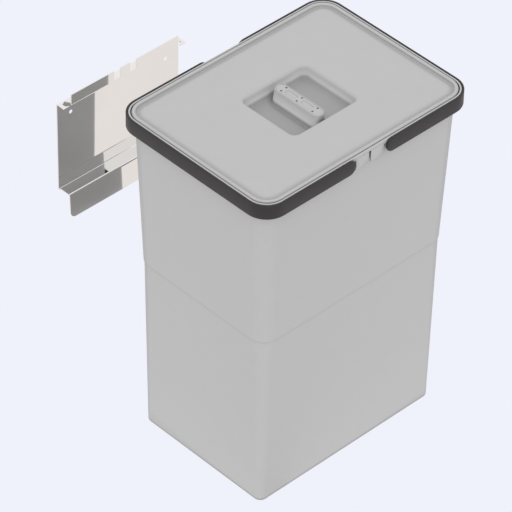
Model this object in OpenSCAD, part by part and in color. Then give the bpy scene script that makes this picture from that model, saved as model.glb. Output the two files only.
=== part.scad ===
// Door mounted waste bin: a two stage plastic bucket with a lift off lid,
// two swinging bail handles and the folded steel bracket it hangs from.
// Origin: middle of the bucket base. X runs along the long side of the bin,
// Y points at the door, Z is up. All sizes in millimetres.

/* [Bin] */
// Length over the two handles
bin_length = 284; // [250:1:330]
// Width over the two handles
bin_width = 213; // [180:1:250]
// Height from the base to the top of the lid bead
bin_height = 408; // [340:1:480]
// Height of the small step in the bucket wall
step_height = 219; // [150:1:260]
// Thickness of the moulded bucket wall
wall = 2.2; // [1.8:0.1:3]
// How far the wall draws in from the rim to the base, on each side
draft_inset = 12.3; // [8:0.1:16]

/* [Handles] */
// Height of the handle band
band_height = 17; // [14:0.5:19]
// Thickness of the handle band
band_thickness = 2.2; // [1.8:0.1:3]
// Distance between the two pivots on one side of the bin
pivot_spacing = 59; // [54:1:80]
// Diameter of the pivot pins
pin_diameter = 5; // [4:0.1:6]

/* [Lid] */
// Length of the finger pocket, along the bin
pocket_length = 90; // [60:1:110]
// Width of the finger pocket, across the bin
pocket_width = 79; // [66:1:96]
// Depth of the finger pocket
pocket_depth = 16; // [13:0.5:24]
// Distance of the pocket from the middle of the lid, along the bin
pocket_x = 3.5; // [-8:0.5:8]
// Distance of the pocket from the middle of the lid, across the bin
pocket_y = -1.5; // [-6:0.5:6]
// Width of the grip bar
grip_width = 14; // [12:0.5:20]
// Distance of the grip bar from the middle of the lid, along the bin
grip_x = 2; // [-8:0.5:8]
// Distance of the grip bar from the middle of the lid, across the bin
grip_y = -3; // [-6:0.5:6]

/* [Bracket] */
// Length of the door bracket
bracket_length = 168.5; // [160:0.5:200]
// Height of the back plate
plate_height = 112.6; // [80:0.2:140]
// Thickness of the bracket sheet
sheet = 1.2; // [1:0.1:1.5]
// Distance between the two screw holes
screw_spacing = 132; // [110:1:144]
// Diameter of the screw holes
screw_hole = 4.5; // [3.5:0.1:5.5]
// Clear distance from the handles to the back plate
door_distance = 154.5; // [120:0.5:200]
// Height of the bracket ledge above the floor
ledge_height = 181.4; // [140:0.2:200]

/* [Hidden] */
$fn = 64;
HULL_FN = 32;
EPS = 0.01;
SKIN = 0.5;
GAP = 0.3;
LIGHT_GREY = [0.75, 0.75, 0.75];
ANTHRACITE = [0.27, 0.27, 0.28];
STEEL = [0.82, 0.82, 0.83];

// Levels near the rim
pivot_z = bin_height - 9.3;
deck_thickness = 2.2;
deck_z = pivot_z + 3.3;
deck_top = deck_z + deck_thickness;
lid_z = deck_top + GAP;
band_z = pivot_z - band_height / 2;

// Plan sizes: handle ring, rim deck and bucket wall
ring_radius = 24.5;
deck_inset = band_thickness + GAP;
deck_length = bin_length - 2 * deck_inset;
deck_width = bin_width - 2 * deck_inset;
deck_radius = ring_radius - deck_inset;
deck_overhang = 5;
top_length = deck_length - 2 * deck_overhang;
top_width = deck_width - 2 * deck_overhang;
top_radius = 20;
base_length = top_length - 2 * draft_inset;
base_width = top_width - 2 * draft_inset;
base_radius = 8;
lower_draft = 4.75;
lower_length = base_length + 2 * lower_draft;
lower_width = base_width + 2 * lower_draft;
lower_radius = 16;
step_out = 0.9;
upper_length = lower_length + 2 * step_out;
upper_width = lower_width + 2 * step_out;
upper_radius = 17;
floor_thickness = 2.5;

// Pivots
pivot_x = pivot_spacing / 2;
boss_radius = band_height / 2;
hub_radius = lid_z - GAP - pivot_z;
arm_outer = bin_width / 2;
boss_thickness = 4.3;
boss_inner = arm_outer - boss_thickness;
pin_radius = pin_diameter / 2;
pin_press = 0.02;
pin_play = 0.05;
pin_tip = arm_outer - 1.4;
bore_end = pin_tip + 0.25;
head_radius = 4.5;
head_thickness = 1.5;
head_face = top_width / 2 - wall - 0.45;

// Hook blocks moulded under the deck, front and rear
block_half = pivot_x - boss_radius - 2;
block_face = deck_width / 2;
block_skin = 1.5;
block_z = deck_z - 11.5;
slit_width = 2.7;
rib_x = 11;
rib_thickness = 2;
rib_root = 1.5;

// Lid
lid_inset = 2.4;
lid_length = deck_length - 2 * lid_inset;
lid_width = deck_width - 2 * lid_inset;
lid_radius = 21;
lid_edge = 1.2;
lid_sheet = 2.2;
bead_height = bin_height - lid_z;
bead_inset = 0.2;
bead_width = 4;
bead_channel = 1.2;
bead_roof = 1.5;
plateau_inset = 12.5;
plateau_top = lid_z + lid_sheet;
skirt_clearance = 4.3;
skirt_depth = 10.5;
skirt_thickness = 1.6;
skirt_length = top_length - 2 * wall - 2 * skirt_clearance;
skirt_width = top_width - 2 * wall - 2 * skirt_clearance;
skirt_radius = top_radius - wall - skirt_clearance;
pocket_radius = 8;
pocket_floor = plateau_top - pocket_depth;
tub_thickness = 2;

// Grip bar and its inlay
grip_end_gap = 7.5;
grip_length = pocket_width - 2 * grip_end_gap;
grip_base = pocket_floor + GAP;
grip_top = bin_height;
grip_shell = 2;
grip_roof = 3.4;
inlay_margin = 1.6;
inlay_length = grip_length - 2 * inlay_margin;
inlay_width = grip_width - 2 * inlay_margin;
inlay_depth = 1.4;
inlay_gap = 0.1;
inlay_below = 0.3;
inlay_floor = grip_top - inlay_below - inlay_depth;
peg_radius = 2.5;
peg_y = grip_length / 2 - 9;
peg_press = 0.02;
peg_lid_play = 0.05;
peg_collar = 4.2;
hole_row = 22;
hole_side = inlay_width / 2 - 1.85;
hole_radius = 1.2;
panel_sink = 0.4;
panel_length = hole_row - 7;
panel_width = inlay_width - 5.2;

// Bracket
plate_y = bin_width / 2 + door_distance;
plate_back = plate_y + sheet;
plate_z = ledge_height;
flange_z = plate_z + plate_height;
flange_depth = 11;
flange_front = plate_y - flange_depth;
lip_height = 13;
lip_half = bracket_length / 2 - 10.2;
bend = 2;
ledge_depth = 15.9;
flap_front = plate_y - ledge_depth;
flap_drop = 29.6;
flap_inset = 1.4;
flap_radius = 7;
flap_splay = 2.35;
flap_low = bend - sheet - flap_drop;
relief_radius = 4.2;
relief_inset = 5;
relief_offset = 2.4;
relief_slot = 2.6;
notch_inner = rib_x - 4.4;
notch_outer = rib_x + 4.4;
notch_root = 1.5;
screw_drop = 19;

// Rounded rectangle, centred, from squares and circles only
module rounded_rect(l, w, r) {
  square([l - 2 * r, w], center = true);
  square([l, w - 2 * r], center = true);
  for (sx = [-1, 1], sy = [-1, 1])
    translate([sx * (l / 2 - r), sy * (w / 2 - r)])
      circle(r = r);
}

// Rounded plate with its lower face at height z
module plate(l, w, r, z, t) {
  translate([0, 0, z])
    linear_extrude(height = t)
      rounded_rect(l, w, r);
}

// Rounded frame of even width b with its lower face at height z
module frame(l, w, r, b, z, t) {
  translate([0, 0, z])
    linear_extrude(height = t)
      difference() {
        rounded_rect(l, w, r);
        rounded_rect(l - 2 * b, w - 2 * b, r - b);
      }
}

// Slot shape lying along Y
module obround(l, w) {
  square([w, l - w], center = true);
  for (s = [-1, 1])
    translate([0, s * (l - w) / 2])
      circle(d = w);
}

// Round bar along Y from y0 to y1
module bar_y(r, y0, y1) {
  translate([0, y0, 0])
    rotate([-90, 0, 0])
      cylinder(r = r, h = y1 - y0);
}

// Tapered lower stage of the bucket, grown inwards by t
module lower_stage(t, z0, z1) {
  hull() {
    plate(base_length - 2 * t, base_width - 2 * t, base_radius - t, z0, SKIN, $fn = HULL_FN);
    plate(lower_length - 2 * t, lower_width - 2 * t, lower_radius - t, z1 - SKIN, SKIN,
      $fn = HULL_FN);
  }
}

// Tapered upper stage of the bucket, grown inwards by t
module upper_stage(t, z0, z1) {
  hull() {
    plate(upper_length - 2 * t, upper_width - 2 * t, upper_radius - t, z0, SKIN, $fn = HULL_FN);
    plate(top_length - 2 * t, top_width - 2 * t, top_radius - t, z1 - SKIN, SKIN,
      $fn = HULL_FN);
  }
}

// One hook block on the +Y side: face wall and two ribs under the deck
module hook_block() {
  root_y = top_width / 2 - rib_root;
  translate([-block_half, block_face - block_skin, block_z])
    cube([2 * block_half, block_skin, deck_top - block_z]);
  for (s = [-1, 1])
    translate([s * rib_x - rib_thickness / 2, root_y, block_z])
      cube([rib_thickness, block_face - block_skin / 2 - root_y, deck_z + 1 - block_z]);
}

// Slit down the face wall of the +Y hook block
module block_slit() {
  translate([-slit_width / 2, block_face - block_skin - EPS, block_z - 1])
    cube([slit_width, block_skin + 1, deck_top - block_z + 2]);
}

module bucket() {
  color(LIGHT_GREY)
    difference() {
      union() {
        lower_stage(0, 0, step_height);
        upper_stage(0, step_height, deck_z);
        difference() {
          plate(deck_length, deck_width, deck_radius, deck_z, deck_thickness);
          for (sx = [-1, 1], sy = [-1, 1])
            translate([sx * pivot_x - hub_radius - GAP, sy * arm_outer - boss_thickness - GAP,
              deck_z - EPS])
              cube([2 * hub_radius + 2 * GAP, 2 * boss_thickness + 2 * GAP,
                deck_thickness + 2 * EPS]);
        }
        hook_block();
        mirror([0, 1, 0])
          hook_block();
      }
      lower_stage(wall, floor_thickness, step_height + wall);
      upper_stage(wall, step_height + wall - EPS, deck_top + 1);
      for (sy = [0, 1])
        mirror([0, sy, 0]) {
          block_slit();
          for (sx = [-1, 1])
            translate([sx * pivot_x, 0, pivot_z])
              bar_y(pin_radius + pin_press, head_face - head_radius, top_width / 2 + 2);
        }
    }
}

// Bail handle on the +X side; the other one is its mirror image
module bail() {
  difference() {
    union() {
      intersection() {
        frame(bin_length, bin_width, ring_radius, band_thickness, band_z, band_height);
        translate([pivot_x, -bin_width, band_z - 1])
          cube([bin_length, 2 * bin_width, band_height + 2]);
      }
      for (s = [0, 1])
        mirror([0, s, 0])
          translate([pivot_x, 0, pivot_z]) {
            bar_y(boss_radius, arm_outer - band_thickness, arm_outer);
            bar_y(hub_radius, boss_inner, arm_outer - band_thickness / 2);
          }
    }
    for (s = [0, 1])
      mirror([0, s, 0])
        translate([pivot_x, 0, pivot_z])
          bar_y(pin_radius + pin_play, boss_inner - 1, bore_end);
  }
}

module right_handle() {
  color(ANTHRACITE)
    bail();
}

module left_handle() {
  color(ANTHRACITE)
    mirror([1, 0, 0])
      bail();
}

// Pivot pin on the +X, +Y corner; sx and sy choose the corner
module pivot_pin(sx, sy) {
  color(ANTHRACITE)
    mirror([sx, 0, 0])
      mirror([0, sy, 0])
        translate([pivot_x, 0, pivot_z]) {
          bar_y(head_radius, head_face - head_thickness, head_face);
          bar_y(pin_radius, head_face - EPS, pin_tip);
        }
}

module lid() {
  bead_l = lid_length - 2 * bead_inset;
  bead_w = lid_width - 2 * bead_inset;
  color(LIGHT_GREY)
    difference() {
      union() {
        plate(lid_length, lid_width, lid_radius, lid_z, lid_edge);
        frame(bead_l, bead_w, lid_radius - bead_inset, bead_width, lid_z, bead_height);
        plate(lid_length - 2 * plateau_inset, lid_width - 2 * plateau_inset,
          lid_radius - plateau_inset, lid_z, lid_sheet);
        frame(skirt_length, skirt_width, skirt_radius, skirt_thickness, lid_z - skirt_depth,
          skirt_depth + EPS);
        translate([pocket_x, pocket_y, 0])
          plate(pocket_length + 2 * tub_thickness, pocket_width + 2 * tub_thickness,
            pocket_radius + tub_thickness, pocket_floor - tub_thickness,
            pocket_depth + tub_thickness);
      }
      frame(bead_l - 2 * bead_channel, bead_w - 2 * bead_channel,
        lid_radius - bead_inset - bead_channel, bead_width - 2 * bead_channel, lid_z - EPS,
        bead_height - bead_roof);
      translate([pocket_x, pocket_y, 0])
        plate(pocket_length, pocket_width, pocket_radius, pocket_floor, pocket_depth + 1);
      for (s = [-1, 1])
        translate([grip_x, grip_y + s * peg_y, pocket_floor - tub_thickness - 1])
          cylinder(r = peg_radius + peg_lid_play, h = tub_thickness + 2);
    }
}

// Hollow grip bar with two pegs through the pocket floor
module lid_grip() {
  color(LIGHT_GREY)
    translate([grip_x, grip_y, 0])
      difference() {
        union() {
          difference() {
            translate([0, 0, grip_base])
              linear_extrude(height = grip_top - grip_base)
                obround(grip_length, grip_width);
            translate([0, 0, grip_base - EPS])
              linear_extrude(height = grip_top - grip_roof - grip_base)
                obround(grip_length - 2 * grip_shell, grip_width - 2 * grip_shell);
          }
          for (s = [-1, 1])
            translate([0, s * peg_y, 0]) {
              translate([0, 0, pocket_floor - tub_thickness - GAP])
                cylinder(r = peg_radius, h = grip_base - pocket_floor + tub_thickness + 2 * GAP);
              translate([0, 0, grip_base])
                cylinder(r = peg_collar, h = grip_top - grip_roof - grip_base + EPS);
            }
        }
        translate([0, 0, inlay_floor - inlay_gap])
          linear_extrude(height = grip_top - inlay_floor + 1)
            obround(inlay_length + 2 * inlay_gap, inlay_width + 2 * inlay_gap);
      }
}

// Thin inlay let into the top of the grip bar
module grip_inlay() {
  color(LIGHT_GREY)
    translate([grip_x, grip_y, inlay_floor])
      difference() {
        linear_extrude(height = inlay_depth)
          obround(inlay_length, inlay_width);
        for (row = [-1, 0, 1], side = [-1, 1])
          translate([side * hole_side, row * hole_row, -EPS])
            cylinder(r = hole_radius, h = inlay_depth + 2 * EPS);
        for (s = [-1, 1])
          translate([-panel_width / 2, s * hole_row / 2 - panel_length / 2,
            inlay_depth - panel_sink])
            cube([panel_width, panel_length, panel_sink + EPS]);
      }
}

// Section of a bend: ring sector from the +Y axis down to the given angle
module bend_sector(short = 0) {
  reach = bend + 1;
  intersection() {
    difference() {
      circle(r = bend);
      circle(r = bend - sheet);
    }
    polygon([[0, 0], [0, reach], [reach, reach], [reach * cos(short), reach * sin(short)]]);
  }
}

// Section of plate, top flange, ledge and flap; x of the sketch is Y, y is Z
module main_section() {
  translate([plate_y, plate_z + bend])
    square([sheet, plate_height - 2 * bend]);
  translate([plate_back - bend, flange_z - bend])
    bend_sector();
  translate([flange_front, flange_z - sheet])
    square([flange_depth + sheet - bend, sheet]);
  translate([plate_back - bend, plate_z + bend])
    mirror([0, 1])
      bend_sector();
}

// Ledge and hanging flap, which is splayed a little towards the bin
module ledge_section() {
  translate([flap_front + bend, plate_z])
    square([ledge_depth + sheet - 2 * bend, sheet]);
  translate([flap_front + bend, plate_z + sheet - bend])
    mirror([1, 0])
      bend_sector(flap_splay);
  translate([flap_front + bend, plate_z + sheet - bend])
    rotate(-flap_splay)
      translate([-bend, flap_low])
        square([sheet, -flap_low]);
}

module lip_section() {
  translate([flange_front + bend, flange_z - sheet])
    square([flange_depth / 2 - bend, sheet]);
  translate([flange_front + bend, flange_z - sheet + bend])
    rotate(180)
      bend_sector();
  translate([flange_front, flange_z - sheet + bend])
    square([sheet, lip_height + sheet - bend]);
}

// Sweep a Y-Z section along X, centred, over the given length
module along_x(l) {
  translate([-l / 2, 0, 0])
    rotate([90, 0, 90])
      linear_extrude(height = l)
        children();
}

// What is cut away to round the flap's lower corner on side s
module flap_corner(s) {
  half = bracket_length / 2 - flap_inset;
  translate([0, flap_front + bend, plate_z + sheet - bend])
    rotate([90 - flap_splay, 0, 0])
      translate([0, 0, bend - sheet - 1])
        linear_extrude(height = sheet + 2)
          difference() {
            translate([s * (half + 1 - (flap_radius + 1) / 2), flap_low + (flap_radius - 1) / 2])
              square(flap_radius + 1, center = true);
            translate([s * (half - flap_radius), flap_low + flap_radius])
              circle(r = flap_radius);
          }
}

module door_bracket() {
  notch_bottom = flange_z + notch_root;
  color(STEEL)
    difference() {
      union() {
        difference() {
          along_x(bracket_length)
            main_section();
          translate([-lip_half, flange_front - 1, flange_z - sheet - 1])
            cube([2 * lip_half, 1 + bend, sheet + 2]);
        }
        along_x(2 * lip_half)
          lip_section();
        along_x(bracket_length - 2 * flap_inset)
          ledge_section();
      }
      for (s = [-1, 1]) {
        flap_corner(s);
        translate([s * (lip_half + relief_offset), flange_front + relief_inset,
          flange_z - sheet - 1])
          cylinder(r = relief_radius, h = sheet + 2);
        translate([s * (lip_half + relief_slot / 2) - relief_slot / 2, flange_front - 1,
          flange_z - sheet - 1])
          cube([relief_slot, relief_inset, sheet + 2]);
        translate([s * screw_spacing / 2, plate_y - 1, flange_z - screw_drop])
          rotate([-90, 0, 0])
            cylinder(d = screw_hole, h = sheet + 2);
        translate([s * rib_x - (notch_outer - notch_inner) / 2, flange_front - 1, notch_bottom])
          cube([notch_outer - notch_inner, sheet + 2, lip_height + 1]);
      }
    }
}

bucket();
lid();
lid_grip();
grip_inlay();
left_handle();
right_handle();
pivot_pin(1, 1);  // front_left_pin
pivot_pin(0, 1);  // front_right_pin
pivot_pin(1, 0);  // rear_left_pin
pivot_pin(0, 0);  // rear_right_pin
door_bracket();
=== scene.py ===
import math

import bmesh
import bpy
from mathutils import Matrix, Vector


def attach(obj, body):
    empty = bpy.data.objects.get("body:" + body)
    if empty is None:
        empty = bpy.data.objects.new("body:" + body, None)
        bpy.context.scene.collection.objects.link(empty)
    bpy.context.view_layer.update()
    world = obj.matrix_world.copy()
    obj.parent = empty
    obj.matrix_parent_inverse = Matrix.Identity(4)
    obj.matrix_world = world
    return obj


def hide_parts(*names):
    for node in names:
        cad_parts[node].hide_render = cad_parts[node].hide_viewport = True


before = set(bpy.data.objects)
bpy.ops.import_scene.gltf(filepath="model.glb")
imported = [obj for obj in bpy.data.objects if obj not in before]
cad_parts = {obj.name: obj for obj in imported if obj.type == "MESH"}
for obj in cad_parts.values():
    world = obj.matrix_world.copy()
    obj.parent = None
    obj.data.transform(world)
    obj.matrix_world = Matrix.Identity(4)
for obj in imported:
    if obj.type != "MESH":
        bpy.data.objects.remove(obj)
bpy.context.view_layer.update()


# Camera: the photograph's own viewpoint, solved from its edges. The lens is
# long, so the walls of the bin stay almost parallel in the picture.
def add_object(name, data):
    """Puts a new object with this data into the scene."""
    added = bpy.data.objects.new(name, data)
    bpy.context.scene.collection.objects.link(added)
    return added


view_right = Vector((0.72579, -0.68777, 0.01455))
view_up = Vector((0.43730, 0.47760, 0.76201))
view_back = view_right.cross(view_up).normalized()
view_up = view_back.cross(view_right).normalized()
view_place = Vector((-2.1798, -2.1924, 2.8309))
view_turn = Matrix((view_right, view_up, view_back)).transposed().to_4x4()
camera_data = bpy.data.cameras.new("camera")
camera_data.sensor_width = 36.0
camera_data.lens = 281.79
camera_data.clip_end = 60.0
camera = add_object("camera", camera_data)
camera.matrix_world = Matrix.Translation(view_place) @ view_turn
bpy.context.scene.camera = camera
bpy.context.scene.view_settings.view_transform = "Standard"


# Moulded plastic: a fine grain that pits the surface the way a matt tool
# finish does, a slow wave from uneven cooling, and painted shade from a mask of
# how open each place lies, so that grooves and the finger pocket come out darker,
# with painted light on the pocket's walls.

# The bin's sizes are in millimetres, and MM turns them into metres.
MM = 0.001


def add_node(tree, kind, values=(), **settings):
    """Adds a node with its settings and the values of its inputs."""
    node = tree.nodes.new(kind)
    for setting, choice in settings.items():
        setattr(node, setting, choice)
    for socket, value in dict(values).items():
        node.inputs[socket].default_value = value
    return node


def wire(tree, *wires):
    """Joins nodes; each wire is (from node, output, to node, input)."""
    for source, output, target, entry in wires:
        tree.links.new(source.outputs[output], target.inputs[entry])


foot_low, foot_high = 100.0, 200.0
pocket_reach = 58.0
pocket_deep, pocket_middle, pocket_high = 393.5, 396.5, 406.0

grain = bpy.data.node_groups.new("moulded_grain", "ShaderNodeTree")
for socket in ("Grain", "Wave", "Sunk", "Flank"):
    grain.interface.new_socket(socket, in_out="INPUT", socket_type="NodeSocketFloat")
grain.interface.new_socket("Normal", in_out="OUTPUT", socket_type="NodeSocketVector")
for socket in ("Patch", "Open"):
    grain.interface.new_socket(socket, in_out="OUTPUT", socket_type="NodeSocketFloat")
given = add_node(grain, "NodeGroupInput")
result = add_node(grain, "NodeGroupOutput")
where = add_node(grain, "ShaderNodeTexCoord")

pits = add_node(grain, "ShaderNodeTexNoise", {"Scale": 1800.0, "Detail": 3.0})
wave = add_node(grain, "ShaderNodeTexNoise", {"Scale": 14.0, "Detail": 2.0})
patch = add_node(grain, "ShaderNodeTexNoise", {"Scale": 55.0, "Detail": 5.0})
pit_bump = add_node(grain, "ShaderNodeBump", {"Distance": 0.1 * MM})
wave_bump = add_node(grain, "ShaderNodeBump", {"Distance": 2.0 * MM})
wire(grain,
     (where, "Object", pits, "Vector"),
     (where, "Object", wave, "Vector"),
     (where, "Object", patch, "Vector"),
     (given, "Wave", wave_bump, "Strength"),
     (wave, "Fac", wave_bump, "Height"),
     (given, "Grain", pit_bump, "Strength"),
     (pits, "Fac", pit_bump, "Height"),
     (wave_bump, "Normal", pit_bump, "Normal"),
     (pit_bump, "Normal", result, "Normal"),
     (patch, "Fac", result, "Patch"))

# Painted shade: wide hollows are painted a little darker, though not near the foot, and narrow gaps
# a lot darker.
wide = add_node(grain, "ShaderNodeAmbientOcclusion", {"Distance": 60.0 * MM}, samples=16)
wide_tone = add_node(grain, "ShaderNodeMapRange", {"To Min": 0.85})
narrow = add_node(grain, "ShaderNodeAmbientOcclusion", {"Distance": 6.0 * MM}, samples=16)
narrow_tone = add_node(grain, "ShaderNodeMapRange", {"To Min": 0.15})
place = add_node(grain, "ShaderNodeSeparateXYZ")
foot = add_node(grain, "ShaderNodeMapRange", {"From Min": foot_low * MM, "From Max": foot_high * MM,
                                              "To Min": 1.0, "To Max": 0.0})
wide_part = add_node(grain, "ShaderNodeMath", operation="MAXIMUM")
hollows = add_node(grain, "ShaderNodeMath", operation="MULTIPLY")
wire(grain,
     (where, "Object", place, "Vector"),
     (place, "Z", foot, "Value"),
     (wide, "AO", wide_tone, "Value"),
     (wide_tone, "Result", wide_part, 0),
     (foot, "Result", wide_part, 1),
     (narrow, "AO", narrow_tone, "Value"),
     (wide_part, "Value", hollows, 0),
     (narrow_tone, "Result", hollows, 1))

# Painted light and shade: Flank scales the colour of the whole finger pocket,
# as painted light that fades out towards its mouth, and Sunk scales its floor
# once more, as painted shade.
floor_tone = add_node(grain, "ShaderNodeMapRange",
                      {"From Min": pocket_deep * MM, "From Max": pocket_middle * MM})
flank_tone = add_node(grain, "ShaderNodeMapRange",
                      {"From Min": pocket_middle * MM, "From Max": pocket_high * MM, "To Max": 1.0})
pocket_tone = add_node(grain, "ShaderNodeMath", operation="MULTIPLY")
aside = add_node(grain, "ShaderNodeVectorMath", operation="ABSOLUTE")
plan = add_node(grain, "ShaderNodeSeparateXYZ")
reach = add_node(grain, "ShaderNodeMath", operation="MAXIMUM")
inside = add_node(grain, "ShaderNodeMath", {1: pocket_reach * MM}, operation="LESS_THAN")
pocket = add_node(grain, "ShaderNodeMix", {"A": 1.0})
openness = add_node(grain, "ShaderNodeMath", operation="MULTIPLY")
wire(grain,
     (place, "Z", floor_tone, "Value"),
     (given, "Sunk", floor_tone, "To Min"),
     (place, "Z", flank_tone, "Value"),
     (given, "Flank", flank_tone, "To Min"),
     (flank_tone, "Result", pocket_tone, 0),
     (floor_tone, "Result", pocket_tone, 1),
     (where, "Object", aside, 0),
     (aside, "Vector", plan, "Vector"),
     (plan, "X", reach, 0),
     (plan, "Y", reach, 1),
     (reach, "Value", inside, 0),
     (inside, "Value", pocket, "Factor"),
     (pocket_tone, "Value", pocket, "B"),
     (hollows, "Value", openness, 0),
     (pocket, "Result", openness, 1),
     (openness, "Value", result, "Open"))


def moulded(name, tones, rough, pitted, painted_shading_weight, sunk=1.0, flank=1.0):
    """Matt moulded plastic whose colour and gloss drift a little from place to place, and whose
    colour carries painted shade in hollows and painted light and shade in the finger pocket.
    """
    waviness = 0.05
    gloss_drift = 0.05
    material = bpy.data.materials.new(name)
    material.use_nodes = True
    tree = material.node_tree
    shader = tree.nodes["Principled BSDF"]
    shader.inputs["IOR"].default_value = 1.49
    shader.inputs["Specular IOR Level"].default_value = 0.42
    surface = tree.nodes.new("ShaderNodeGroup")
    surface.node_tree = grain
    for socket, value in (("Grain", pitted), ("Wave", waviness), ("Sunk", sunk), ("Flank", flank)):
        surface.inputs[socket].default_value = value
    dark, light = tones
    tint = add_node(tree, "ShaderNodeMix", {"A": (*dark, 1.0), "B": (*light, 1.0)},
                    data_type="RGBA")
    # Painted shade: the colour is multiplied by the hollows mask and by the finger pocket's painted
    # light and shade, at this material's weight.
    shade = add_node(tree, "ShaderNodeMix", {"Factor": painted_shading_weight},
                     data_type="RGBA", blend_type="MULTIPLY")
    gloss = add_node(tree, "ShaderNodeMapRange",
                     {"From Min": 0.3, "From Max": 0.7,
                      "To Min": rough - gloss_drift, "To Max": rough + gloss_drift})
    wire(tree,
         (surface, "Patch", tint, "Factor"),
         (tint, "Result", shade, "A"),
         (surface, "Open", shade, "B"),
         (shade, "Result", shader, "Base Color"),
         (surface, "Patch", gloss, "Value"),
         (gloss, "Result", shader, "Roughness"),
         (surface, "Normal", shader, "Normal"))
    return material


# Bucket: one injection moulding of light grey plastic. The wall tapers, steps
# out once, and ends in a flat deck that carries the lid, with a low lip round
# it and, in the middle of each long side, a slotted block for the bracket.
light_grey = ((0.525, 0.525, 0.527), (0.553, 0.553, 0.555))
# The bucket's colour takes the painted shade of its hollows at full weight.
light_plastic = moulded("light_grey_plastic", light_grey, rough=0.52, pitted=0.25, painted_shading_weight=1.0)

# Stages of the wall, each as half length, half width and corner radius.
base = (122.2, 86.7, 8.0)
lower = (126.95, 91.45, 16.0)
upper = (127.85, 92.35, 17.0)
top = (134.5, 99.0, 20.0)
deck = (139.5, 104.0, 22.0)
wall = 2.2
step_z = 219.0
wall_top_z = 402.0
mouth_z = 403.65
deck_z = 404.15

# Reliefs in the deck's long sides, for the handle hubs and for the block's slit.
relief_far, relief_near, slit_half = 35.3, 23.7, 1.35
side_stations = (relief_far, relief_far, relief_near, relief_near, slit_half, slit_half)
hub_relief_y, slit_y = 101.9, 102.5
deck_side = (deck[1], hub_relief_y, hub_relief_y, deck[1], deck[1], slit_y)


def spread(first, last, steps):
    """Evenly spaced values from first to last, both included."""
    return [first + (last - first) * step / steps for step in range(steps + 1)]


def corner_arcs(half_x, half_y, radius, steps):
    """The four corners of a rounded rectangle, each as a list of x, y points."""
    arcs = []
    for quarter, (sx, sy) in enumerate(((1, 1), (-1, 1), (-1, -1), (1, -1))):
        angles = [math.radians(a) for a in spread(90.0 * quarter, 90.0 * (quarter + 1), steps)]
        arcs.append([(sx * (half_x - radius) + radius * math.cos(angle),
                      sy * (half_y - radius) + radius * math.sin(angle)) for angle in angles])
    return arcs


def outline(half_x, half_y, radius, z, side=None):
    """Rounded rectangle at z; side gives its half width at each station along X."""
    side = side or (half_y,) * len(side_stations)
    rear = list(zip(side_stations, side))
    rear += [(-x, y) for x, y in reversed(rear)]
    front = [(-x, -y) for x, y in rear]
    arcs = corner_arcs(half_x, half_y, radius, 8)
    return [(x, y, z) for x, y in arcs[0] + rear + arcs[1] + arcs[2] + front + arcs[3]]


def inset_ring(stage, inset, z, radius=None):
    """Outline of a stage drawn in by inset; its corners tighten too, unless radius is given."""
    half_x, half_y, corner = (size - inset for size in stage)
    return outline(half_x, half_y, radius or corner, z)


def blend_ring(first, last, share, z):
    """Outline part way between two stages."""
    return outline(*(a + (b - a) * share for a, b in zip(first, last)), z)


def deck_ring(inset, z):
    """Edge of the deck with its reliefs."""
    return outline(*(size - inset for size in deck), z, tuple(y - inset for y in deck_side))


def thinner(stage):
    """A stage of the inner wall."""
    return tuple(size - wall for size in stage)


def loft(bm, rings, capped=True):
    """Skins rings of equal length, in millimetres, into bm."""
    rows = [[bm.verts.new(Vector(p) * MM) for p in ring] for ring in rings]
    for low, high in zip(rows, rows[1:]):
        for i in range(len(low)):
            j = (i + 1) % len(low)
            bm.faces.new((low[i], low[j], high[j], high[i]))
    if capped:
        bm.faces.new(list(reversed(rows[0])))
        bm.faces.new(rows[-1])


def slab(bm, x_from, x_to, y, depth, z_from, z_to):
    """Closed box between two places along X and along Z, drawn out from y by depth."""
    size = Vector((abs(x_to - x_from), abs(depth), z_to - z_from)) * MM
    middle = Vector(((x_from + x_to) / 2, y + depth / 2, (z_from + z_to) / 2)) * MM
    bmesh.ops.create_cube(bm, size=1.0,
                          matrix=Matrix.Translation(middle) @ Matrix.Diagonal((*size, 1.0)))


def mesh_from(bm, name):
    """Turns bm into a mesh and frees it."""
    mesh = bpy.data.meshes.new(name)
    bm.to_mesh(mesh)
    bm.free()
    return mesh


def weld(bm):
    """Joins points that fall on one another."""
    bmesh.ops.remove_doubles(bm, verts=bm.verts, dist=1e-7)


def finish_piece(bm, name, material, body, nodes, bevel=0.0, sharp=35.0):
    """Softens the hard edges, shades the mesh and ties the object to its body."""
    weld(bm)
    bmesh.ops.recalc_face_normals(bm, faces=bm.faces)
    limit = math.radians(sharp)
    if bevel:
        hard = [e for e in bm.edges if e.is_manifold and e.calc_face_angle(0.0) > limit]
        bmesh.ops.bevel(bm, geom=hard, offset=bevel * MM, offset_type="OFFSET", segments=2,
                        profile=0.5, affect="EDGES", material=-1, clamp_overlap=True)
    for face in bm.faces:
        face.smooth = True
    for edge in bm.edges:
        edge.smooth = not edge.is_manifold or edge.calc_face_angle(0.0) < limit
    mesh = mesh_from(bm, name)
    mesh.materials.append(material)
    piece = add_object(name, mesh)
    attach(piece, body)
    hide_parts(*nodes)


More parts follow.
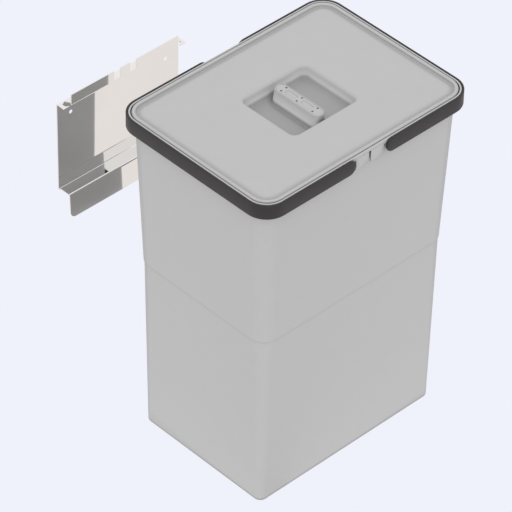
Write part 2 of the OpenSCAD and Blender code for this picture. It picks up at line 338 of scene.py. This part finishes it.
# Outside, from the foot up to the deck. A profile gives inset, height and, where
# it has its own, corner radius. The step's gives two stages, the share between
# them and the height.
foot_round = ((3.0, 0.0), (1.2, 0.45), (0.35, 1.3, 7.6))
foot_end, step_start, step_end, wall_end = 2.6, 218.2, 220.1, 399.6
step_round = ((base, lower, 0.9977, 218.5), (lower, upper, 0.1, 218.95),
              (lower, upper, 0.9, 219.05), (upper, top, 0.002, 219.4),
              (upper, top, 0.006, step_end))
eaves_share, eaves_z = 0.985, 401.2
eaves_round = ((-0.4, 401.9, 20.2), (-1.1, 402.05, 20.4))
deck_round = ((0.35, 402.05), (0.0, 402.4), (0.0, 403.75), (0.4, deck_z))
rings = [inset_ring(base, *place) for place in foot_round]
rings += [blend_ring(base, lower, z / step_z, z) for z in spread(foot_end, step_start, 12)]
rings += [blend_ring(*place) for place in step_round]
rings += [blend_ring(upper, top, (z - step_z) / (wall_top_z - step_z), z)
          for z in spread(step_end, wall_end, 10)[1:]]
rings.append(blend_ring(upper, top, eaves_share, eaves_z))
rings += [inset_ring(top, *place) for place in eaves_round]
rings += [deck_ring(*place) for place in deck_round]

# Inside, from the mouth down to the floor.
mouth, inner_upper, inner_lower, inner_base = (thinner(s) for s in (top, upper, lower, base))
inner_upper_from, inner_upper_to = 221.6, 401.5
inner_lower_from, inner_lower_to = 6.0, 219.5
inner_step_share, inner_step_z = 0.1, 220.8
mouth_flare = 0.5
floor_round = ((1.0, 3.4), (3.4, 2.5, 3.0))
rings += [inset_ring(mouth, -mouth_flare, deck_z), inset_ring(mouth, 0.0, mouth_z)]
rings += [blend_ring(inner_upper, mouth, share,
                     inner_upper_from + (inner_upper_to - inner_upper_from) * share)
          for share in spread(1.0, 0.0, 8)[1:]]
rings.append(blend_ring(inner_lower, inner_upper, inner_step_share, inner_step_z))
rings += [blend_ring(inner_base, inner_lower, share,
                     inner_lower_from + (inner_lower_to - inner_lower_from) * share)
          for share in spread(1.0, 0.0, 8)[1:]]
rings += [inset_ring(inner_base, *place) for place in floor_round]
bm = bmesh.new()
loft(bm, rings)

# The low lip between the lid's edge and the handles.
lip_z, lip_width, lip_soft = 407.0, 2.05, 0.3
lip_profile = ((0.0, deck_z), (0.0, lip_z - lip_soft), (lip_soft, lip_z),
               (lip_width - lip_soft, lip_z), (lip_width, lip_z - lip_soft), (lip_width, deck_z))
lip = [inset_ring(deck, inset, z) for inset, z in lip_profile]
loft(bm, lip + lip[:1], capped=False)
weld(bm)

# The hook block: a slit face wall with two ribs behind it, on both long sides.
block_y, block_root_y, block_wall, rib_overlap = 103.97, 97.6, 1.5, 0.5
block_half, block_low, block_high = 19.0, 390.5, 403.6
rib_middle, rib_half, rib_low, rib_high = 11.0, 1.0, 390.7, 402.6
for side in (-1, 1):
    for half in (-1, 1):
        slab(bm, half * slit_half, half * block_half, side * block_y, -side * block_wall,
             block_low, block_high)
    for half in (-1, 1):
        slab(bm, half * rib_middle - rib_half, half * rib_middle + rib_half, side * block_root_y,
             side * (block_y - rib_overlap - block_root_y), rib_low, rib_high)
finish_piece(bm, "bucket_shell", light_plastic, "bin", ["bucket"], bevel=0.3)


# Lid: one light grey moulding that lies on the deck, with a skirt that keeps
# it in the bucket's mouth. Its edge is a round bead, then comes a shallow
# groove, then the flat panel with the sunk finger pocket.
# The lid's colour takes painted shade in its hollows, painted shade on the pocket's floor and
# painted light on the pocket's walls.
lid_plastic = moulded("lid_plastic", light_grey, rough=0.52, pitted=0.25, painted_shading_weight=1.0,
                      sunk=0.55, flank=1.50)
lid_edge = (137.1, 101.6, 21.0)
skirt = (128.0, 92.5, 13.5)
pocket_half = (45.0, 39.5)
pocket_centre = Vector((3.5, -1.5, 0.0))
panel_z = 406.7
under_z, under_inset = 404.52, 35.0
mouth_soft, mouth_grow, mouth_corner, corner_gain = 4.0, 2.4, 10.6, 3.7
bead_inset, bead_half, bead_z, bead_rise = 2.3, 2.15, 406.1, 1.9
tightest_corner = 5.0

# Profiles as inset and height, or for the pocket as growth, corner and height.
pocket_wall = ((-9.0, 3.0, 390.7), (-6.6, 4.0, 390.9), (-4.8, 4.8, 391.7), (-3.5, 5.4, 393.0),
               (-2.7, 6.0, 394.8), (-2.2, 6.5, 397.0), (-1.9, 6.8, 399.5))
groove = ((30.0, panel_z), (13.0, panel_z), (12.0, 406.6), (10.5, 406.2), (9.0, 405.7),
          (7.5, 405.2), (6.4, 404.96), (5.5, 404.95), (4.9, 405.2), (4.6, 405.6))
seat = ((0.05, 405.7), (0.1, 405.45), (0.4, 405.3), (1.9, 405.3), (2.2, 405.0), (2.3, under_z),
        (7.6, under_z))
skirt_wall = ((0.0, 404.4), (0.0, 394.4), (0.4, 394.05), (1.2, 394.05), (1.6, 394.4),
              (1.6, 404.5))
pocket_under = ((3.0, 9.6, 404.5), (2.2, 9.0, 403.6), (1.9, 8.8, 391.5), (1.2, 8.2, 389.3),
                (-1.0, 6.6, 388.72))


def lid_ring(inset, z):
    """Outline of the lid drawn in by inset, with corners that never get tight."""
    return inset_ring(lid_edge, inset, z, max(lid_edge[2] - inset, tightest_corner))


def pocket_ring(grow, radius, z):
    """Outline of the finger pocket, grown by grow, with its stations kept between the corners."""
    half_x, half_y = (size + grow for size in pocket_half)
    limit = half_x - radius
    ring = []
    for x, y, _ in outline(half_x, half_y, radius, z):
        if abs(abs(y) - half_y) < 1e-6:
            x = max(-limit, min(limit, x))
        ring.append(Vector((x, y, z)) + pocket_centre)
    return ring


# Top face: pocket floor and walls, the pocket's soft mouth, groove and bead.
rings = [pocket_ring(*place) for place in pocket_wall]
for angle in (math.radians(degrees) for degrees in spread(90.0, 0.0, 9)):
    rings.append(pocket_ring(mouth_grow - mouth_soft * math.sin(angle),
                             mouth_corner - corner_gain * math.sin(angle),
                             panel_z - mouth_soft * (1.0 - math.cos(angle))))
rings += [lid_ring(*place) for place in groove]
for angle in (math.radians(degrees) for degrees in spread(0.0, 180.0, 9)):
    rings.append(lid_ring(bead_inset + bead_half * math.cos(angle),
                          bead_z + bead_rise * math.sin(angle)))

# Underside: the seat on the deck, the skirt and the pocket from below.
rings += [lid_ring(*place) for place in seat]
rings += [inset_ring(skirt, *place) for place in skirt_wall]
rings.append(lid_ring(under_inset, under_z))
rings += [pocket_ring(*place) for place in pocket_under]
bm = bmesh.new()
loft(bm, rings)
finish_piece(bm, "lid_panel", lid_plastic, "lid_body", ["lid"], sharp=45.0)


# Grip bar: a light grey bar that stands across the finger pocket, held by two
# pegs in the pocket's floor. It flares at its foot, and its top has a raised
# rim round the place of the inlay.
grip_centre = Vector((2.0, -3.0, 0.0))
bar_profile = ((35.0, 11.0, 390.72), (34.5, 10.4, 391.0), (34.0, 9.9, 391.9), (33.5, 9.4, 394.0),
               (32.8, 8.4, 399.0), (32.1, 7.2, 406.0), (31.9, 6.9, 407.3), (31.6, 6.6, 407.8),
               (31.2, 6.2, 408.0), (30.8, 5.8, 408.0), (30.6, 5.6, 407.85), (30.5, 5.5, 407.5),
               (30.5, 5.5, 406.85))
peg_reach, peg_radius, peg_length, peg_z = 23.0, 2.5, 3.0, 389.9


def slot_shape(half_length, half_width):
    """Outline of a slot that lies along Y, as x, y points."""
    arc = [(half_width * math.cos(angle),
            half_length - half_width + half_width * math.sin(angle))
           for angle in spread(0.0, math.pi, 12)]
    return arc + [(-x, -y) for x, y in arc]


def cylinder(bm, radius, length, segments, place):
    """Adds a closed cylinder; place is in metres, the sizes are in millimetres."""
    bmesh.ops.create_cone(bm, cap_ends=True, segments=segments, radius1=radius * MM,
                          radius2=radius * MM, depth=length * MM, matrix=place)


bm = bmesh.new()
loft(bm, [[(x, y, z) for x, y in slot_shape(half_length, half_width)]
          for half_length, half_width, z in bar_profile])
for peg_y in (-peg_reach, peg_reach):
    cylinder(bm, peg_radius, peg_length, 32, Matrix.Translation(Vector((0, peg_y, peg_z)) * MM))
bmesh.ops.translate(bm, verts=bm.verts, vec=grip_centre * MM)
finish_piece(bm, "grip_bar", lid_plastic, "lid_body", ["lid_grip"], sharp=50.0)


# Grip inlay: a thin moulded strip let into the bar, with three rows of two
# small holes and a shallow sunk panel between the rows.
inlay_half_length, inlay_half_width = 30.4, 5.4
inlay_top, inlay_low, sunk_z = 407.7, 406.9, 407.25
hole_radius, hole_aside, row_pitch = 1.2, 3.55, 22.0
panel_middle = 11.0
panel_mouth = (2.9, 7.5, 1.2)
panel_floor = (2.6, 7.2, 1.0)


def flat_with_holes(bm, shapes, z):
    """Fills the flat space between the first shape and the holes inside it."""
    edges = []
    loops = []
    for points in shapes:
        verts = [bm.verts.new(Vector((x, y, z)) * MM) for x, y in points]
        loops.append(verts)
        edges += [bm.edges.new((vert, verts[(i + 1) % len(verts)]))
                  for i, vert in enumerate(verts)]
    bmesh.ops.triangle_fill(bm, use_beauty=True, use_dissolve=False, edges=edges)
    return loops


def wall_between(bm, high, low):
    """Joins two matching loops with a band of quads."""
    for i in range(len(high)):
        j = (i + 1) % len(high)
        bm.faces.new((high[i], high[j], low[j], low[i]))


def round_hole(centre_x, centre_y):
    """Circle of twelve points."""
    angles = [math.radians(30.0 * corner) for corner in range(12)]
    return [(centre_x + hole_radius * math.cos(angle), centre_y + hole_radius * math.sin(angle))
            for angle in angles]


def panel_shape(centre_y, half_x, half_y, radius):
    """Small rounded rectangle."""
    return [(x, y + centre_y) for arc in corner_arcs(half_x, half_y, radius, 4) for x, y in arc]


edge_shape = slot_shape(inlay_half_length, inlay_half_width)
hole_shapes = [round_hole(sx * hole_aside, row * row_pitch) for row in (-1, 0, 1) for sx in (-1, 1)]
panel_places = (-panel_middle, panel_middle)
through = [edge_shape] + hole_shapes
bm = bmesh.new()
top_loops = flat_with_holes(bm, through + [panel_shape(y, *panel_mouth) for y in panel_places],
                            inlay_top)
low_loops = flat_with_holes(bm, through, inlay_low)
for high, low in zip(top_loops, low_loops):
    wall_between(bm, high, low)
for high, centre_y in zip(top_loops[len(through):], panel_places):
    low = [bm.verts.new(Vector((x, y, sunk_z)) * MM) for x, y in panel_shape(centre_y, *panel_floor)]
    wall_between(bm, high, low)
    bm.faces.new(low)
bmesh.ops.translate(bm, verts=bm.verts, vec=grip_centre * MM)
finish_piece(bm, "grip_inlay_strip", light_plastic, "lid_body", ["grip_inlay"],
             sharp=30.0)


# Handles: two anthracite bails that lie round the rim. Each is a flat band
# with softened edges, a full round at both ends and a boss inside each end
# that turns on a pin in the bucket wall.
anthracite = ((0.021, 0.0195, 0.0205), (0.028, 0.0265, 0.0275))
# The anthracite takes a fifth of the painted shade of its hollows.
dark_plastic = moulded("anthracite_plastic", anthracite, rough=0.46, pitted=0.35, painted_shading_weight=0.2)
bail_reach = (142.0, 106.5)
bail_corner = 24.5
bail_z = 398.7
pivot_x = 29.5
end_radius = 8.5
straight_y = 40.0
band_thickness, band_soft = 2.2, 0.8
boss_radius, boss_from, boss_to = 5.4, 102.2, 105.0
bore_radius, bore_from, bore_to = 2.55, 101.5, 105.3


def band_section(outer, inward, half_height):
    """Rounded cross section of the band at one place on its way round the rim."""
    half = band_thickness / 2
    soft = min(band_soft, 0.45 * band_thickness, 0.9 * half_height)
    return [(outer[0] + inward[0] * (half + n), outer[1] + inward[1] * (half + n), bail_z + z)
            for arc in corner_arcs(half, half_height, soft, 3) for n, z in arc]


def bail_stations():
    """Places along the band as outer point, direction inwards and half height."""
    reach_x, reach_y = bail_reach
    stations = []
    for angle in (math.radians(degrees) for degrees in spread(4.0, 90.0, 12)):
        x = pivot_x - end_radius * math.cos(angle)
        stations.append(((x, -reach_y), (0.0, 1.0), end_radius * math.sin(angle)))
    for x in spread(pivot_x, reach_x - bail_corner, 9)[1:-1]:
        stations.append(((x, -reach_y), (0.0, 1.0), end_radius))
    for angle in (math.radians(degrees) for degrees in spread(-90.0, 0.0, 12)):
        c, s = math.cos(angle), math.sin(angle)
        stations.append(((reach_x - bail_corner + bail_corner * c,
                          -reach_y + bail_corner + bail_corner * s), (-c, -s), end_radius))
    stations.append(((reach_x, -straight_y), (-1.0, 0.0), end_radius))
    back = [((x, -y), (nx, -ny), half) for (x, y), (nx, ny), half in reversed(stations)]
    return stations + [((reach_x, 0.0), (-1.0, 0.0), end_radius)] + back


def bail(name, node, body, side):
    """One handle; side is -1 for the left one and 1 for the right one."""
    bm = bmesh.new()
    loft(bm, [[(side * x, y, z) for x, y, z in band_section(*station)]
              for station in bail_stations()])
    bmesh.ops.recalc_face_normals(bm, faces=bm.faces)
    band = add_object(name, mesh_from(bm, name))
    tools = []
    for end in (-1, 1):
        for kind, radius, y_from, y_to in (("UNION", boss_radius, boss_from, boss_to),
                                           ("DIFFERENCE", bore_radius, bore_from, bore_to)):
            middle = Vector((side * pivot_x, end * (y_from + y_to) / 2, bail_z)) * MM
            bm = bmesh.new()
            cylinder(bm, radius, y_to - y_from, 64,
                     Matrix.Translation(middle) @ Matrix.Rotation(math.pi / 2, 4, "X"))
            tool = add_object("tool", mesh_from(bm, "tool"))
            shaping = band.modifiers.new("boss", "BOOLEAN")
            shaping.operation = kind
            shaping.solver = "EXACT"
            shaping.object = tool
            tools.append(tool)
    bpy.context.view_layer.update()
    shaped = bpy.data.meshes.new_from_object(
        band.evaluated_get(bpy.context.evaluated_depsgraph_get()))
    for used in tools + [band]:
        bpy.data.objects.remove(used)
    bm = bmesh.new()
    bm.from_mesh(shaped)
    finish_piece(bm, name, dark_plastic, body, [node], sharp=40.0)


bail("left_bail_handle", "left_handle", "left_bail", -1)
bail("right_bail_handle", "right_handle", "right_bail", 1)


# Pivot pins: one in the bucket wall behind each handle end, which turns on
# it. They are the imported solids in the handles' plastic.
for corner in ("front_left_pin", "front_right_pin", "rear_left_pin", "rear_right_pin"):
    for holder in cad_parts[corner].material_slots:
        holder.material = dark_plastic


# Door bracket: one blank of polished stainless sheet, punched and folded. It
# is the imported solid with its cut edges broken. The polish leaves faint lines
# along the sheet.
steel = bpy.data.materials.new("polished_steel")
steel.use_nodes = True
tree = steel.node_tree
shader = tree.nodes["Principled BSDF"]
shader.inputs["Metallic"].default_value = 1.0
where = add_node(tree, "ShaderNodeTexCoord")
stretch = add_node(tree, "ShaderNodeMapping", {"Scale": (6.0, 900.0, 900.0)})
lines = add_node(tree, "ShaderNodeTexNoise", {"Scale": 1.0, "Detail": 4.0})
cloud = add_node(tree, "ShaderNodeTexNoise", {"Scale": 18.0, "Detail": 3.0})
tone = add_node(tree, "ShaderNodeMix", {"A": (0.80, 0.79, 0.78, 1.0), "B": (0.86, 0.85, 0.84, 1.0)},
                data_type="RGBA")
polish = add_node(tree, "ShaderNodeMapRange", {"To Min": 0.012, "To Max": 0.03})
ripple = add_node(tree, "ShaderNodeBump", {"Strength": 0.012, "Distance": 0.1 * MM})
wire(tree,
     (where, "Object", stretch, "Vector"),
     (stretch, "Vector", lines, "Vector"),
     (where, "Object", cloud, "Vector"),
     (cloud, "Fac", tone, "Factor"),
     (tone, "Result", shader, "Base Color"),
     (cloud, "Fac", polish, "Value"),
     (polish, "Result", shader, "Roughness"),
     (lines, "Fac", ripple, "Height"),
     (ripple, "Normal", shader, "Normal"))
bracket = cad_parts["door_bracket"]
for holder in bracket.material_slots:
    holder.material = steel
edge_break = bracket.modifiers.new("broken_edges", "BEVEL")
edge_break.width = 0.2 * MM
edge_break.segments = 2
edge_break.limit_method = "ANGLE"
edge_break.angle_limit = math.radians(40.0)
edge_break.harden_normals = True


# Floor: a plain pale sheet. Seen from the camera and in the steel it glows with the
# photograph's tones, a warmer one in the steel as a painted reflection. Towards the bin it
# glows with an even painted light in place of a bounce, but little from the strip behind it,
# a painted shadow which keeps the mirrored back dark.
floor_half = 6000.0
strip_half, strip_start = 135.0, 100.0
open_bounce, strip_bounce = 0.90, 0.10
glow_share = 0.95
seen_colour = (0.893, 0.908, 0.996, 1.0)
mirrored_colour = (0.92, 0.875, 0.855, 1.0)

floor_mesh = bpy.data.meshes.new("floor")
corners = [Vector((sx, sy, 0)) * floor_half * MM for sx, sy in ((-1, -1), (1, -1), (1, 1), (-1, 1))]
floor_mesh.from_pydata(corners, [], [(0, 1, 2, 3)])
floor = add_object("floor", floor_mesh)
paper = bpy.data.materials.new("paper")
paper.use_nodes = True
tree = paper.node_tree
shader = tree.nodes["Principled BSDF"]
shader.inputs["Base Color"].default_value = (0.45, 0.447, 0.45, 1.0)
shader.inputs["Roughness"].default_value = 0.9
ray = add_node(tree, "ShaderNodeLightPath")

# Painted shadow: a strip behind the bin where the floor's glow towards the bin is weak.
where = add_node(tree, "ShaderNodeTexCoord")
place = add_node(tree, "ShaderNodeSeparateXYZ")
aside = add_node(tree, "ShaderNodeMath", operation="ABSOLUTE")
beside = add_node(tree, "ShaderNodeMath", {1: strip_half * MM}, operation="LESS_THAN")
behind = add_node(tree, "ShaderNodeMath", {1: strip_start * MM}, operation="GREATER_THAN")
strip = add_node(tree, "ShaderNodeMath", operation="MULTIPLY")
strength = add_node(tree, "ShaderNodeMapRange", {"To Min": open_bounce, "To Max": strip_bounce})
bounce = add_node(tree, "ShaderNodeEmission")
wire(tree,
     (where, "Object", place, "Vector"),
     (place, "X", aside, 0),
     (aside, "Value", beside, 0),
     (place, "Y", behind, 0),
     (beside, "Value", strip, 0),
     (behind, "Value", strip, 1),
     (strip, "Value", strength, "Value"),
     (strength, "Result", bounce, "Strength"))

# Painted reflection: the floor glows in a warmer tone where the steel mirrors it.
glow = add_node(tree, "ShaderNodeEmission", {"Color": seen_colour})
mirrored = add_node(tree, "ShaderNodeEmission", {"Color": mirrored_colour})
seen = add_node(tree, "ShaderNodeMath", {1: glow_share}, operation="MULTIPLY")
for_camera, for_steel, for_bounce = (add_node(tree, "ShaderNodeMixShader") for _ in range(3))
wire(tree,
     (ray, "Is Camera Ray", seen, 0),
     (seen, "Value", for_camera, "Fac"),
     (shader, "BSDF", for_camera, 1),
     (glow, "Emission", for_camera, 2),
     (ray, "Is Glossy Ray", for_steel, "Fac"),
     (for_camera, "Shader", for_steel, 1),
     (mirrored, "Emission", for_steel, 2),
     (ray, "Is Diffuse Ray", for_bounce, "Fac"),
     (for_steel, "Shader", for_bounce, 1),
     (bounce, "Emission", for_bounce, 2),
     (for_bounce, "Shader", tree.nodes["Material Output"], "Surface"))
floor_mesh.materials.append(paper)


# Light: an even sky, a little brighter where the steel mirrors it, and one
# weak, very soft sun from beside the camera.
sky_colour = (0.86, 0.86, 0.86, 1.0)
sky_in_steel = (1.0, 0.983, 0.972, 1.0)
sun_from = Vector((-0.60, -0.62, 0.60))

world = bpy.data.worlds.new("studio")
world.use_nodes = True
bpy.context.scene.world = world
tree = world.node_tree
sky = tree.nodes["Background"]
sky.inputs["Strength"].default_value = 1.0
ray = add_node(tree, "ShaderNodeLightPath")
choice = add_node(tree, "ShaderNodeMix", {"A": sky_colour, "B": sky_in_steel}, data_type="RGBA")
wire(tree,
     (ray, "Is Glossy Ray", choice, "Factor"),
     (choice, "Result", sky, "Color"))

sun = bpy.data.lights.new("key", "SUN")
sun.energy = 0.5
sun.angle = math.radians(60.0)
key = add_object("key", sun)
key.rotation_euler = sun_from.to_track_quat("Z", "Y").to_euler()
